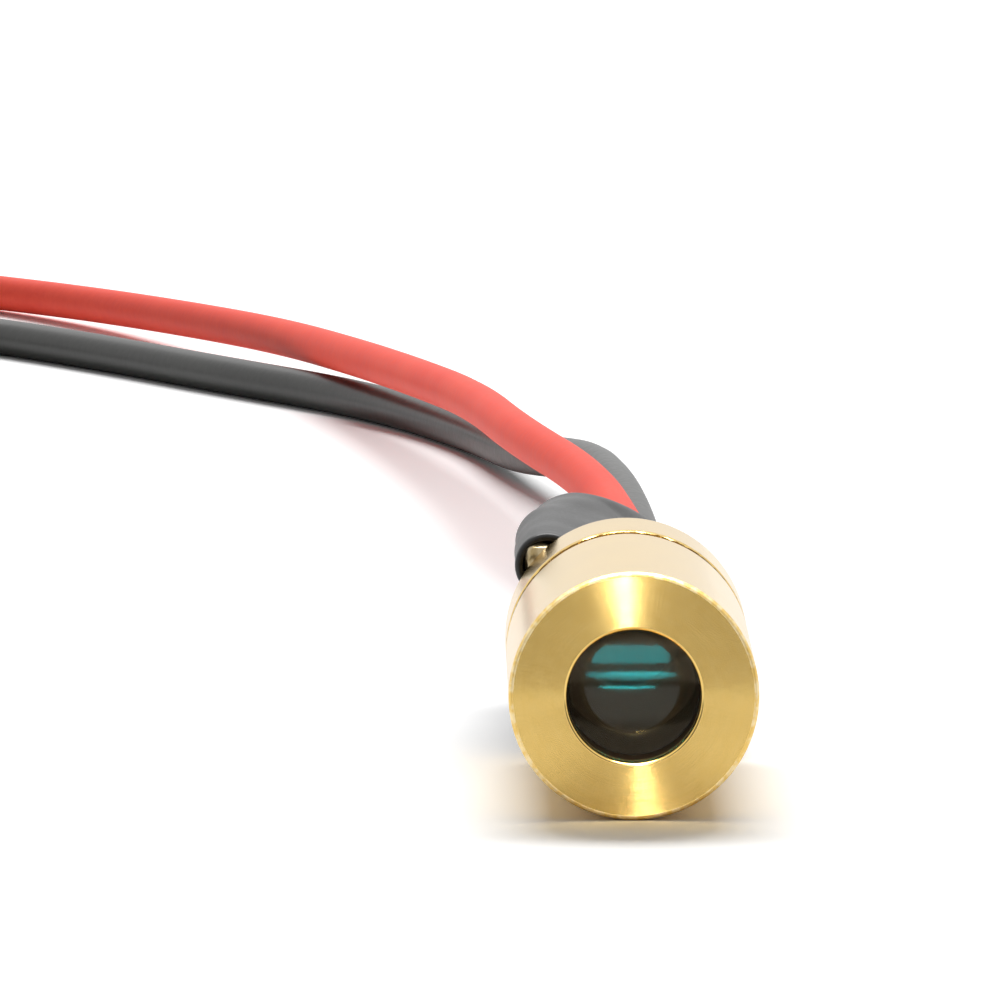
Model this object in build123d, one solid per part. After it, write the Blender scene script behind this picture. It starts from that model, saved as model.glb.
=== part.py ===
from build123d import *
import math
import os

# Laser diode module: a turned brass body with a lens and a laser diode inside, a small driver board
# behind it in a flattened shrink sleeve, and two insulated leads that lie on the surface to its left.
# Millimetres. The object lies on z = 0 with its optical axis along Y and its aperture facing -Y.
# Pieces on the axis are modelled in an axis frame: x to the right, y down, z backwards from the front face.

# Brass body
BODY_DIAMETER = 6.0
CAP_LENGTH = 7.5
FLANGE_LENGTH = 2.5
CAP_WALL = 0.7
THREAD_WALL = 0.4
FRONT_WALL = 1.3
LENS_LEDGE = 0.7
FRONT_EDGE_BREAK = 0.10
APERTURE_EDGE_BREAK = 0.09
SEAM_EDGE_BREAK = 0.07
REAR_EDGE_BREAK = 0.10
SPIGOT_LENGTH = 2.4
SPIGOT_CLEARANCE = 0.02
SPIGOT_END_GAP = 0.15
BARREL_OPENING = 2.2
BARREL_FRONT_WALL = 0.8

# Lens and spring
LENS_CLEARANCE = 0.05
LENS_RIM_LENGTH = 2.2
LENS_FRONT_SAG = 0.20
LENS_BACK_SAG = 0.25
LENS_DOME_MARGIN = 0.05
LENS_SEAT_WIDTH = 0.55
SPRING_WIRE = 0.30
SPRING_INSET = 0.10
SPRING_PITCH = 0.53

# Laser diode
STEM_DIAMETER = 3.8
STEM_THICKNESS = 1.0
STEM_RECESS = 0.2
STEM_CLEARANCE = 0.02
CAN_DIAMETER = 2.8
CAN_LENGTH = 2.3
CAN_WALL = 0.15
CAN_CLEARANCE = 0.15
WINDOW_OPENING = 1.2
WINDOW_MARGIN = 0.3
WINDOW_THICKNESS = 0.25
POST_WIDTH = 0.9
POST_DEPTH = 0.6
POST_LENGTH = 1.3
CHIP_WIDTH = 0.30
CHIP_LENGTH = 0.35
CHIP_THICKNESS = 0.14
MONITOR_SIZE = 0.6
MONITOR_THICKNESS = 0.15
MONITOR_GAP = 0.08
PIN_DIAMETER = 0.30
PIN_PITCH = 1.0
PIN_SEAL_DIAMETER = 0.62
PIN_REACH = 1.9

# Driver board, turned about the optical axis
BOARD_TURN = 42.0
BOARD_WIDTH = 5.0
BOARD_LENGTH = 10.0
BOARD_THICKNESS = 0.8
TRANSISTOR_WIDTH = 1.3
TRANSISTOR_LENGTH = 2.9
TRANSISTOR_HEIGHT = 0.75
TRANSISTOR_STANDOFF = 0.15
LEAD_WIDTH = 0.4
LEAD_HEIGHT = 0.45
LEAD_REACH = 0.45
LEAD_PITCH = 0.95
CHIP_PART_LENGTH = 1.6
CHIP_PART_WIDTH = 0.8
CHIP_TERMINAL = 0.3
RESISTOR_HEIGHT = 0.45
CAPACITOR_HEIGHT = 0.7
CAPACITOR_GAP = 0.6
CHIP_PART_SPACING = 2.0

# Solder
SOLDER_RADIUS = 0.38
SOLDER_FILM = 0.06
PIN_SOLDER_LENGTH = 0.9
WIRE_SOLDER_LENGTH = 1.6
BOARD_SOLDER_LEG = 0.75
BOARD_SOLDER_HEIGHT = 0.38
BOARD_SOLDER_WIDTH = 0.8
EDGE_SOLDER_WIDTH = 0.6
EDGE_SOLDER_FOOT = 0.4
EDGE_SOLDER_REACH = 0.58
EDGE_SOLDER_LIFT = 0.18
EDGE_SOLDER_LENGTH = 0.8

# Shrink sleeve: its sections are the outline around two end circles and one middle circle
SLEEVE_LENGTH = 14.7
SLEEVE_GAP = 0.3
SLEEVE_WALL = 0.22
SLEEVE_PLUG = 1.4
MOUTH_REACH = 2.64
MOUTH_END_RADIUS = 0.82
MOUTH_MIDDLE_RADIUS = 1.38
BULGE_REACH = 2.50
BULGE_END_RADIUS = 0.85
BULGE_MIDDLE_RADIUS = 1.82
BOARD_END_REACH = 1.56
BOARD_END_RADIUS = 1.30
BOARD_END_MIDDLE_RADIUS = 1.36
NECK_SHIFT = (0.55, 0.25)
NECK_TURN = 66.0
NECK_REACH = 0.85
NECK_END_RADIUS = 1.00
NECK_MIDDLE_RADIUS = 1.20
TAIL_SHIFT = (0.778, 0.415)
TAIL_TURN = 78.0
TAIL_REACH = 0.619
TAIL_END_RADIUS = 0.83
TAIL_MIDDLE_RADIUS = 0.94

# Leads
WIRE_DIAMETER = 1.2
CONDUCTOR_DIAMETER = 0.40
STRIPPED_LENGTH = 4.0
STRAIGHT_CORE = 0.6
PAD_OVERHANG = 0.4
PAD_LENGTH = 2.6
RED_PAD_OFFSET = -0.7
BLACK_PAD_OFFSET = 0.9
ARC_SHARE = 0.45

# First two points of each lead: right of the axis, behind the sleeve's end, above the axis.
RED_START = [(0.58, -2.0, 0.20), (0.30, 4.4, 0.17)]
BLACK_START = [(0.90, -2.0, -1.00), (0.92, 3.4, -1.05)]

# The rest of each lead: right of the axis, behind the sleeve's end, above the surface.
RED_ROUTE = [
    (-0.41, 12.9, 3.37),
    (-2.33, 23.1, 3.34),
    (-3.42, 33.5, 3.04),
    (-5.14, 43.5, 2.55),
    (-7.2, 53.4, 2.07),
    (-9.74, 63.5, 1.59),
    (-13.3, 73.2, 1.11),
    (-17.1, 81.1, 0.77),
    (-22.0, 87.6, 0.60),
    (-28.4, 90.4, 0.60),
    (-34.4, 88.2, 0.60),
    (-37.8, 82.6, 0.60),
    (-38.4, 75.6, 0.60),
]
BLACK_ROUTE = [
    (0.88, 10.9, 2.12),
    (0.51, 19.8, 2.25),
    (-0.21, 28.7, 1.95),
    (-2.04, 37.2, 0.93),
    (-3.52, 45.8, 0.60),
    (-6.7, 54.0, 0.60),
    (-11.7, 61.3, 0.60),
    (-15.9, 67.7, 0.60),
    (-20.6, 73.8, 0.60),
    (-26.4, 77.4, 0.60),
    (-32.2, 76.4, 0.60),
    (-35.6, 71.2, 0.60),
    (-36.0, 64.6, 0.60),
]

# Bores and what fits in them
LENS_DIAMETER = BODY_DIAMETER - 2 * CAP_WALL
APERTURE_DIAMETER = LENS_DIAMETER - 2 * LENS_LEDGE
SPIGOT_DIAMETER = BODY_DIAMETER - 2 * THREAD_WALL

# Places on the board, behind its front edge
TRANSISTOR_PLACE = BOARD_LENGTH / 2
CAPACITOR_PLACE = BOARD_LENGTH - PAD_LENGTH - CAPACITOR_GAP - CHIP_PART_WIDTH / 2
RESISTOR_PLACE = CAPACITOR_PLACE - CHIP_PART_SPACING

# Stations along the axis, behind the front face
SEAM = CAP_LENGTH
BODY_LENGTH = CAP_LENGTH + FLANGE_LENGTH
LENS_BACK = FRONT_WALL + LENS_RIM_LENGTH
SPIGOT_FRONT = SEAM - SPIGOT_LENGTH
STEM_BACK = BODY_LENGTH - STEM_RECESS
STEM_FRONT = STEM_BACK - STEM_THICKNESS
CAN_FRONT = STEM_FRONT - CAN_LENGTH
BOARD_BACK = BODY_LENGTH + BOARD_LENGTH
MOUTH = BODY_LENGTH + SLEEVE_GAP
BULGE = BODY_LENGTH + TRANSISTOR_PLACE
SLEEVE_END = MOUTH + SLEEVE_LENGTH
NECK = (BOARD_BACK + SLEEVE_END) / 2

# Places across the axis
AXIS_HEIGHT = BODY_DIAMETER / 2
HALF_BOARD = BOARD_THICKNESS / 2
PIN_OFFSET = HALF_BOARD + SOLDER_FILM + PIN_DIAMETER / 2
CONDUCTOR_OFFSET = HALF_BOARD + SOLDER_FILM + CONDUCTOR_DIAMETER / 2
ON_BOARD = Rot(0, 0, BOARD_TURN)
IN_PLACE = Location(Plane(origin=(0, -SLEEVE_END / 2, AXIS_HEIGHT), x_dir=(1, 0, 0), z_dir=(0, 1, 0)))


def turned(*outline):
    """A turned solid from (distance behind the front face, radius) points."""
    face = make_face(Polyline(*[(radius, station) for station, radius in outline], close=True))
    return revolve(Plane.XZ * face, Axis.Z, 360)


def rod(radius, front, back):
    """A round rod on the axis between two stations."""
    return Pos(0, 0, front) * Cylinder(radius, back - front, align=(Align.CENTER, Align.CENTER, Align.MIN))


def block(size, centre):
    """A box of (across the board, through it, along the axis) sizes about its centre."""
    return Pos(*centre) * Box(*size)


def dome(radius, sag, base, direction):
    """A spherical cap on the axis, standing on a base station; direction is -1 forwards, 1 backwards."""
    sphere_radius = (radius**2 + sag**2) / (2 * sag)
    ball = Pos(0, 0, base + direction * (sag - sphere_radius)) * Sphere(sphere_radius)
    reach = base + direction * sag
    return ball & rod(radius, min(base, reach), max(base, reach))


def front_cap():
    outer = BODY_DIAMETER / 2
    aperture = APERTURE_DIAMETER / 2
    lens_bore = LENS_DIAMETER / 2 + LENS_CLEARANCE
    spigot_bore = SPIGOT_DIAMETER / 2 + SPIGOT_CLEARANCE
    shoulder = SPIGOT_FRONT - SPIGOT_END_GAP
    return turned(
        (0, aperture + APERTURE_EDGE_BREAK),
        (0, outer - FRONT_EDGE_BREAK),
        (FRONT_EDGE_BREAK, outer),
        (SEAM - SEAM_EDGE_BREAK, outer),
        (SEAM, outer - SEAM_EDGE_BREAK),
        (SEAM, spigot_bore),
        (shoulder, spigot_bore),
        (shoulder, lens_bore),
        (FRONT_WALL, lens_bore),
        (FRONT_WALL, aperture),
        (APERTURE_EDGE_BREAK, aperture),
    )


def barrel():
    outer = BODY_DIAMETER / 2
    spigot = SPIGOT_DIAMETER / 2
    opening = BARREL_OPENING / 2
    cavity = CAN_DIAMETER / 2 + CAN_CLEARANCE
    seat = STEM_DIAMETER / 2 + STEM_CLEARANCE
    cavity_front = SPIGOT_FRONT + BARREL_FRONT_WALL
    return turned(
        (SPIGOT_FRONT, opening),
        (SPIGOT_FRONT, spigot),
        (SEAM, spigot),
        (SEAM, outer - SEAM_EDGE_BREAK),
        (SEAM + SEAM_EDGE_BREAK, outer),
        (BODY_LENGTH - REAR_EDGE_BREAK, outer),
        (BODY_LENGTH, outer - REAR_EDGE_BREAK),
        (BODY_LENGTH, seat),
        (STEM_FRONT, seat),
        (STEM_FRONT, cavity),
        (cavity_front, cavity),
        (cavity_front, opening),
    )


def collimating_lens():
    rim = rod(LENS_DIAMETER / 2, FRONT_WALL, LENS_BACK)
    front = dome(APERTURE_DIAMETER / 2 - LENS_DOME_MARGIN, LENS_FRONT_SAG, FRONT_WALL, -1)
    back = dome(LENS_DIAMETER / 2 - LENS_SEAT_WIDTH, LENS_BACK_SAG, LENS_BACK, 1)
    return rim + front + back


def lens_spring():
    height = SPIGOT_FRONT - LENS_BACK
    coil_radius = LENS_DIAMETER / 2 - SPRING_INSET - SPRING_WIRE / 2
    helix = Helix(SPRING_PITCH, height, coil_radius)
    section = Plane(helix @ 0, z_dir=helix % 0) * Circle(SPRING_WIRE / 2)
    coil = Pos(0, 0, LENS_BACK) * sweep(section, path=helix, is_frenet=True)
    return coil & rod(BODY_DIAMETER / 2, LENS_BACK, SPIGOT_FRONT)


def pin_places():
    """Each diode pin's place in the board's frame: two on one face, the case pin on the other."""
    return {
        "anode_pin": (-PIN_PITCH / 2, PIN_OFFSET),
        "monitor_pin": (PIN_PITCH / 2, PIN_OFFSET),
        "case_pin": (0, -PIN_OFFSET),
    }


def diode_pin(name):
    front = STEM_BACK if name == "case_pin" else STEM_FRONT
    pin = rod(PIN_DIAMETER / 2, front, BODY_LENGTH + PIN_REACH)
    return ON_BOARD * Pos(*pin_places()[name]) * pin


def sealed_pin_places():
    return [place for name, place in pin_places().items() if name != "case_pin"]


def pin_seals():
    sleeve = rod(PIN_SEAL_DIAMETER / 2, STEM_FRONT, STEM_BACK) - rod(PIN_DIAMETER / 2, STEM_FRONT, STEM_BACK)
    return Compound([ON_BOARD * Pos(*place) * sleeve for place in sealed_pin_places()])


def diode_stem():
    stem = rod(STEM_DIAMETER / 2, STEM_FRONT, STEM_BACK)
    for place in sealed_pin_places():
        stem -= ON_BOARD * Pos(*place) * rod(PIN_SEAL_DIAMETER / 2, STEM_FRONT, STEM_BACK)
    return stem


def diode_can():
    outer = CAN_DIAMETER / 2
    inner = outer - CAN_WALL
    hole = WINDOW_OPENING / 2
    wall_back = CAN_FRONT + CAN_WALL
    return turned(
        (CAN_FRONT, hole),
        (CAN_FRONT, outer),
        (STEM_FRONT, outer),
        (STEM_FRONT, inner),
        (wall_back, inner),
        (wall_back, hole),
    )


def diode_window():
    front = CAN_FRONT + CAN_WALL
    return rod(WINDOW_OPENING / 2 + WINDOW_MARGIN, front, front + WINDOW_THICKNESS)


def heat_sink_post():
    middle = -(CHIP_THICKNESS + POST_DEPTH / 2)
    post = block((POST_WIDTH, POST_DEPTH, POST_LENGTH), (0, middle, STEM_FRONT - POST_LENGTH / 2))
    return ON_BOARD * post


def laser_chip():
    front = STEM_FRONT - POST_LENGTH
    chip = block((CHIP_WIDTH, CHIP_THICKNESS, CHIP_LENGTH), (0, -CHIP_THICKNESS / 2, front + CHIP_LENGTH / 2))
    return ON_BOARD * chip


def monitor_photodiode():
    """On the stem's front face, beside the post and clear of the two sealed pins."""
    room = PIN_OFFSET - PIN_SEAL_DIAMETER / 2
    depth = room + CHIP_THICKNESS - 2 * MONITOR_GAP
    middle = (room - CHIP_THICKNESS) / 2
    size = (MONITOR_SIZE, depth, MONITOR_THICKNESS)
    return ON_BOARD * block(size, (0, middle, STEM_FRONT - MONITOR_THICKNESS / 2))


def driver_board():
    size = (BOARD_WIDTH, BOARD_THICKNESS, BOARD_LENGTH)
    return ON_BOARD * block(size, (0, 0, BODY_LENGTH + BOARD_LENGTH / 2))


def driver_transistor():
    size = (TRANSISTOR_WIDTH, TRANSISTOR_HEIGHT, TRANSISTOR_LENGTH)
    middle = HALF_BOARD + TRANSISTOR_STANDOFF + TRANSISTOR_HEIGHT / 2
    return ON_BOARD * block(size, (0, middle, BODY_LENGTH + TRANSISTOR_PLACE))


def transistor_leads():
    """Two legs on one side of the transistor and one on the other."""
    side = (TRANSISTOR_WIDTH + LEAD_REACH) / 2
    size = (LEAD_REACH, LEAD_HEIGHT, LEAD_WIDTH)
    middle = HALF_BOARD + LEAD_HEIGHT / 2
    place = BODY_LENGTH + TRANSISTOR_PLACE
    legs = [(side, place - LEAD_PITCH), (side, place + LEAD_PITCH), (-side, place)]
    return Compound([ON_BOARD * block(size, (across, middle, along)) for across, along in legs])


def chip_part(height, place):
    """A chip resistor's or capacitor's body, crosswise on the case-pin face."""
    length = CHIP_PART_LENGTH - 2 * CHIP_TERMINAL
    size = (length, height, CHIP_PART_WIDTH)
    return ON_BOARD * block(size, (0, -HALF_BOARD - height / 2, BODY_LENGTH + place))


def chip_terminals():
    ends = []
    side = (CHIP_PART_LENGTH - CHIP_TERMINAL) / 2
    for height, place in ((RESISTOR_HEIGHT, RESISTOR_PLACE), (CAPACITOR_HEIGHT, CAPACITOR_PLACE)):
        size = (CHIP_TERMINAL, height, CHIP_PART_WIDTH)
        for sign in (-1, 1):
            centre = (sign * side, -HALF_BOARD - height / 2, BODY_LENGTH + place)
            ends.append(ON_BOARD * block(size, centre))
    return Compound(ends)


def solder_bead(side, offset, wire_diameter, front, length):
    """Solder around a round wire that lies on the board's face."""
    back = front + length
    bead = Pos(side, offset) * rod(SOLDER_RADIUS, front, back)
    bead -= Pos(side, offset) * rod(wire_diameter / 2, front, back)
    face = math.copysign(HALF_BOARD, offset)
    cutter_depth = 2 * SOLDER_RADIUS
    cutter_centre = face - math.copysign(cutter_depth / 2, offset)
    bead -= block((cutter_depth, cutter_depth, length), (side, cutter_centre, front + length / 2))
    return ON_BOARD * bead


def pin_solder():
    front = BODY_LENGTH + PIN_REACH - PIN_SOLDER_LENGTH
    beads = []
    for side, offset in pin_places().values():
        beads.append(solder_bead(side, offset, PIN_DIAMETER, front, PIN_SOLDER_LENGTH))
    return Compound(beads)


def wire_solder():
    front = BOARD_BACK - PAD_LENGTH
    beads = []
    for side in (RED_PAD_OFFSET, BLACK_PAD_OFFSET):
        beads.append(solder_bead(side, -CONDUCTOR_OFFSET, CONDUCTOR_DIAMETER, front, WIRE_SOLDER_LENGTH))
    return Compound(beads)


def edge_lump():
    """Solder in the corner between the board's narrow edge and the barrel's rear face."""
    edge = BOARD_WIDTH / 2
    outline = Polyline(
        (edge, 0),
        (edge + EDGE_SOLDER_FOOT, 0),
        (edge + EDGE_SOLDER_REACH, EDGE_SOLDER_LIFT),
        (edge + EDGE_SOLDER_REACH, 2 * EDGE_SOLDER_LIFT),
        (edge, EDGE_SOLDER_LENGTH),
        close=True,
    )
    return extrude(Plane.XZ * make_face(outline), EDGE_SOLDER_WIDTH / 2, both=True)


def board_solder():
    """Four fillets and two lumps that hold the board's long edges to the barrel's rear face."""
    wedge = Polyline((0, 0), (BOARD_SOLDER_HEIGHT, 0), (0, BOARD_SOLDER_LEG), close=True)
    prism = extrude(Plane.YZ * make_face(wedge), BOARD_SOLDER_WIDTH / 2, both=True)
    side = (BOARD_WIDTH - BOARD_SOLDER_WIDTH) / 2
    fillets = []
    for sign in (-1, 1):
        fillets.append(ON_BOARD * Pos(sign * side, HALF_BOARD, BODY_LENGTH) * prism)
        fillets.append(ON_BOARD * Pos(sign * side, -HALF_BOARD, BODY_LENGTH) * mirror(prism, Plane.XZ))
    lump = edge_lump()
    for shape in (lump, mirror(lump, Plane.YZ)):
        fillets.append(ON_BOARD * Pos(0, 0, BODY_LENGTH) * shape)
    return Compound(fillets)


def sleeve_section(station, shift, turn, reach, end_radius, middle_radius):
    """The outline around two end circles and a middle circle, placed across the axis."""
    cosine = (middle_radius - end_radius) / reach
    sine = math.sqrt(1 - cosine**2)
    end_x = reach + end_radius * cosine
    end_y = end_radius * sine
    middle_x = middle_radius * cosine
    middle_y = middle_radius * sine
    outline = Curve() + [
        ThreePointArc((end_x, -end_y), (reach + end_radius, 0), (end_x, end_y)),
        Line((end_x, end_y), (middle_x, middle_y)),
        ThreePointArc((middle_x, middle_y), (0, middle_radius), (-middle_x, middle_y)),
        Line((-middle_x, middle_y), (-end_x, end_y)),
        ThreePointArc((-end_x, end_y), (-reach - end_radius, 0), (-end_x, -end_y)),
        Line((-end_x, -end_y), (-middle_x, -middle_y)),
        ThreePointArc((-middle_x, -middle_y), (0, -middle_radius), (middle_x, -middle_y)),
        Line((middle_x, -middle_y), (end_x, -end_y)),
    ]
    return Pos(*shift, station) * Rot(0, 0, turn) * make_face(outline)


def midway(front, back):
    """A section halfway between two others, so that the loft runs straight between them."""
    shift = tuple((before + after) / 2 for before, after in zip(front[1], back[1]))
    sizes = [(before + after) / 2 for before, after in zip(front[2:], back[2:])]
    return ((front[0] + back[0]) / 2, shift, *sizes)


def sleeve_body(inset):
    """The sleeve's outer form, or its hollow when inset by the wall."""
    stations = [
        (MOUTH, (0, 0), BOARD_TURN, MOUTH_REACH, MOUTH_END_RADIUS, MOUTH_MIDDLE_RADIUS),
        (BULGE, (0, 0), BOARD_TURN, BULGE_REACH, BULGE_END_RADIUS, BULGE_MIDDLE_RADIUS),
        (BOARD_BACK, (0, 0), BOARD_TURN, BOARD_END_REACH, BOARD_END_RADIUS, BOARD_END_MIDDLE_RADIUS),
        (NECK, NECK_SHIFT, NECK_TURN, NECK_REACH, NECK_END_RADIUS, NECK_MIDDLE_RADIUS),
        (SLEEVE_END, TAIL_SHIFT, TAIL_TURN, TAIL_REACH, TAIL_END_RADIUS, TAIL_MIDDLE_RADIUS),
    ]
    mouth, bulge, board_end = stations[:3]
    stations.insert(1, midway(mouth, bulge))
    stations.insert(3, midway(bulge, board_end))
    sections = []
    for *place, end_radius, middle_radius in stations:
        sections.append(sleeve_section(*place, end_radius - inset, middle_radius - inset))
    return loft(sections)


def shrink_sleeve(wires):
    """Hollow over the board, and shrunk tight around the two leads at its rear end."""
    hollow_length = SLEEVE_END - SLEEVE_PLUG - MOUTH
    hollow = sleeve_body(SLEEVE_WALL) & rod(BODY_DIAMETER, MOUTH, MOUTH + hollow_length)
    sleeve = IN_PLACE * (sleeve_body(0) - hollow)
    for wire in wires:
        sleeve -= wire
    return sleeve


def lead_points(start, route):
    """A lead's route in the object's frame."""
    rear = SLEEVE_END / 2
    points = [Vector(x, rear + y, AXIS_HEIGHT + z) for x, y, z in start]
    points += [Vector(x, rear + y, z) for x, y, z in route]
    return points


def tube(name, points, diameter):
    """A round tube whose path is straight runs joined by the largest tangent arcs that fit."""
    radii = []
    for before, corner, after in zip(points, points[1:], points[2:]):
        turn = (corner - before).get_angle(after - corner)
        shorter = min((corner - before).length, (after - corner).length)
        radii.append(ARC_SHARE * shorter / math.tan(math.radians(turn) / 2))
    path = FilletPolyline(*points, radius=radii)
    solid = sweep(Plane(path @ 0, z_dir=path % 0) * Circle(diameter / 2), path=path)
    section_volume = math.pi * diameter**2 / 4 * path.length
    print(name, "radii", [round(radius, 1) for radius in radii], "length", round(path.length, 1))
    print(name, "volume", round(solid.volume, 2), "section times length", round(section_volume, 2))
    return solid


def conductor(name, points, pad_offset):
    """The stripped conductor from its pad on the board to the front end of the insulation."""
    front = ON_BOARD * Pos(pad_offset, -CONDUCTOR_OFFSET, BOARD_BACK - PAD_LENGTH)
    back = ON_BOARD * Pos(pad_offset, -CONDUCTOR_OFFSET, BOARD_BACK + PAD_OVERHANG)
    along = (points[1] - points[0]).normalized()
    corners = [(IN_PLACE * front).position, (IN_PLACE * back).position]
    corners += [points[0] - along * STRAIGHT_CORE, points[0]]
    return tube(name, corners, CONDUCTOR_DIAMETER)


def tinned_end(points):
    """The stripped far end of a lead, on from its last run."""
    along = (points[-1] - points[-2]).normalized()
    section = Plane(points[-1], z_dir=along) * Circle(CONDUCTOR_DIAMETER / 2)
    return extrude(section, STRIPPED_LENGTH)


red_points = lead_points(RED_START, RED_ROUTE)
black_points = lead_points(BLACK_START, BLACK_ROUTE)
red_wire = tube("red_wire", red_points, WIRE_DIAMETER)
black_wire = tube("black_wire", black_points, WIRE_DIAMETER)

on_axis = {
    "front_cap": front_cap(),
    "barrel": barrel(),
    "collimating_lens": collimating_lens(),
    "lens_spring": lens_spring(),
    "diode_stem": diode_stem(),
    "diode_can": diode_can(),
    "diode_window": diode_window(),
    "heat_sink_post": heat_sink_post(),
    "laser_chip": laser_chip(),
    "monitor_photodiode": monitor_photodiode(),
    "anode_pin": diode_pin("anode_pin"),
    "monitor_pin": diode_pin("monitor_pin"),
    "case_pin": diode_pin("case_pin"),
    "pin_seals": pin_seals(),
    "driver_board": driver_board(),
    "driver_transistor": driver_transistor(),
    "transistor_leads": transistor_leads(),
    "current_resistor": chip_part(RESISTOR_HEIGHT, RESISTOR_PLACE),
    "filter_capacitor": chip_part(CAPACITOR_HEIGHT, CAPACITOR_PLACE),
    "chip_terminals": chip_terminals(),
    "pin_solder": pin_solder(),
    "wire_solder": wire_solder(),
    "board_solder": board_solder(),
}

nodes = {name: IN_PLACE * solid for name, solid in on_axis.items()}
nodes["shrink_sleeve"] = shrink_sleeve([red_wire, black_wire])
nodes["red_wire"] = red_wire
nodes["black_wire"] = black_wire
nodes["red_conductor"] = conductor("red_conductor", red_points, RED_PAD_OFFSET)
nodes["black_conductor"] = conductor("black_conductor", black_points, BLACK_PAD_OFFSET)
nodes["red_tinned_end"] = tinned_end(red_points)
nodes["black_tinned_end"] = tinned_end(black_points)

os.makedirs("parts", exist_ok=True)
for name, solid in nodes.items():
    export_step(solid, f"parts/{name}.step")
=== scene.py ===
# %% [markdown]
# Laser diode module. A turned brass body holds a coated lens and a laser diode. Behind it a black
# shrink sleeve covers a small driver board, and a red and a black lead run away to the left.
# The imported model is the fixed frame: it gives every size and place, and this script gives the looks.

import math
import random

import bpy
from mathutils import Matrix, Vector


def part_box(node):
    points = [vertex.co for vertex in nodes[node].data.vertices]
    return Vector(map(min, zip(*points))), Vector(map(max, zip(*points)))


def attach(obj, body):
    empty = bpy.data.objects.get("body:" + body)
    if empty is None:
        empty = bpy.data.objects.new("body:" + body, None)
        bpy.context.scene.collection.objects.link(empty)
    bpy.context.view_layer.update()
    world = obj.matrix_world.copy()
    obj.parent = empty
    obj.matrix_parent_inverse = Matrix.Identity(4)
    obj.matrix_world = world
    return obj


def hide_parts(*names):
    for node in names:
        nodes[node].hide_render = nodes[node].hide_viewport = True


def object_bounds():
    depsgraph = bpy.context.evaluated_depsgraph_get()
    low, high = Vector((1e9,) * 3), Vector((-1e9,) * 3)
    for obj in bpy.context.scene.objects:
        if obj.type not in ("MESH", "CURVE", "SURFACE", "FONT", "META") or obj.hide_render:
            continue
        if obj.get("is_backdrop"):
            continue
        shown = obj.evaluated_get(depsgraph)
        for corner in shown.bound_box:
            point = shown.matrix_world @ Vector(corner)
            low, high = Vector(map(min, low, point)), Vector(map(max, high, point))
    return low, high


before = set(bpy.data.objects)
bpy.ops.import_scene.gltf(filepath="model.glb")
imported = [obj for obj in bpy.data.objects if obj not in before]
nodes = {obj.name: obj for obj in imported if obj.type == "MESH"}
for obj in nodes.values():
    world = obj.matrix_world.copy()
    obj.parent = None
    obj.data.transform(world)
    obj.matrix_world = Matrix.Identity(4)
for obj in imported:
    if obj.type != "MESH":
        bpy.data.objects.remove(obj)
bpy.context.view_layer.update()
MM = 0.001
cap_low, cap_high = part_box("front_cap")
BODY_RADIUS = (cap_high.z - cap_low.z) / 2
AXIS_HEIGHT = (cap_high.z + cap_low.z) / 2
FRONT = cap_low.y
print("body radius", round(BODY_RADIUS / MM, 3), "mm, front face at y", round(FRONT / MM, 3), "mm")

# %% [markdown]
# The camera comes first. The front face is a circle in the photograph, so its centre and radius give
# the camera's distance, and the point where lines along the barrel would meet gives its tilt.
# A long lens keeps the circle round, as the photograph does.

# %% Camera from the photograph's circle and vanishing point
FOCAL_PX = 10000
IMAGE_PX = 1000
FACE_CENTRE_PX = (634.0, 696.7)
FACE_RADIUS_PX = 125.6
VANISHING_PX = (423, -808)
SENSOR_MM = 36


def pixel_ray(pixel):
    """Direction through a pixel in camera axes: right, up, forward."""
    middle = IMAGE_PX / 2
    return Vector(((pixel[0] - middle) / FOCAL_PX, (middle - pixel[1]) / FOCAL_PX, 1))


barrel_ray = pixel_ray(VANISHING_PX).normalized()
yaw = math.asin(-barrel_ray.x)
pitch = math.acos(barrel_ray.z / math.cos(yaw))
forward = Vector((math.sin(yaw) * math.cos(pitch), math.cos(yaw) * math.cos(pitch), -math.sin(pitch)))
right = Vector((math.cos(yaw), -math.sin(yaw), 0))
up = right.cross(forward)
face_centre = Vector((0, FRONT, AXIS_HEIGHT))
face_ray = pixel_ray(FACE_CENTRE_PX) * (BODY_RADIUS * FOCAL_PX / FACE_RADIUS_PX)
eye = face_centre - right * face_ray.x - up * face_ray.y - forward * face_ray.z

bpy.ops.object.select_all(action="DESELECT")
bpy.ops.object.camera_add()
camera = bpy.context.object
camera.name = "camera"
camera.data.sensor_width = SENSOR_MM
camera.data.lens = SENSOR_MM * FOCAL_PX / IMAGE_PX
camera.data.clip_start = 10 * MM
camera.data.clip_end = 10
camera.matrix_world = Matrix((right, up, -forward)).transposed().to_4x4()
camera.location = eye
bpy.context.scene.camera = camera
bpy.context.scene.view_settings.view_transform = "Standard"
print("camera", [round(value / MM, 1) for value in eye], "mm, pitch", round(math.degrees(pitch), 2))

# %% [markdown]
# The two leads are thin stranded wires with soft plastic insulation. Each is one smooth spline whose
# control points are the route's points: out of the sleeve, down to the surface, then in a wide bend to
# the left. The red one passes over the black one on its way.

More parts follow.
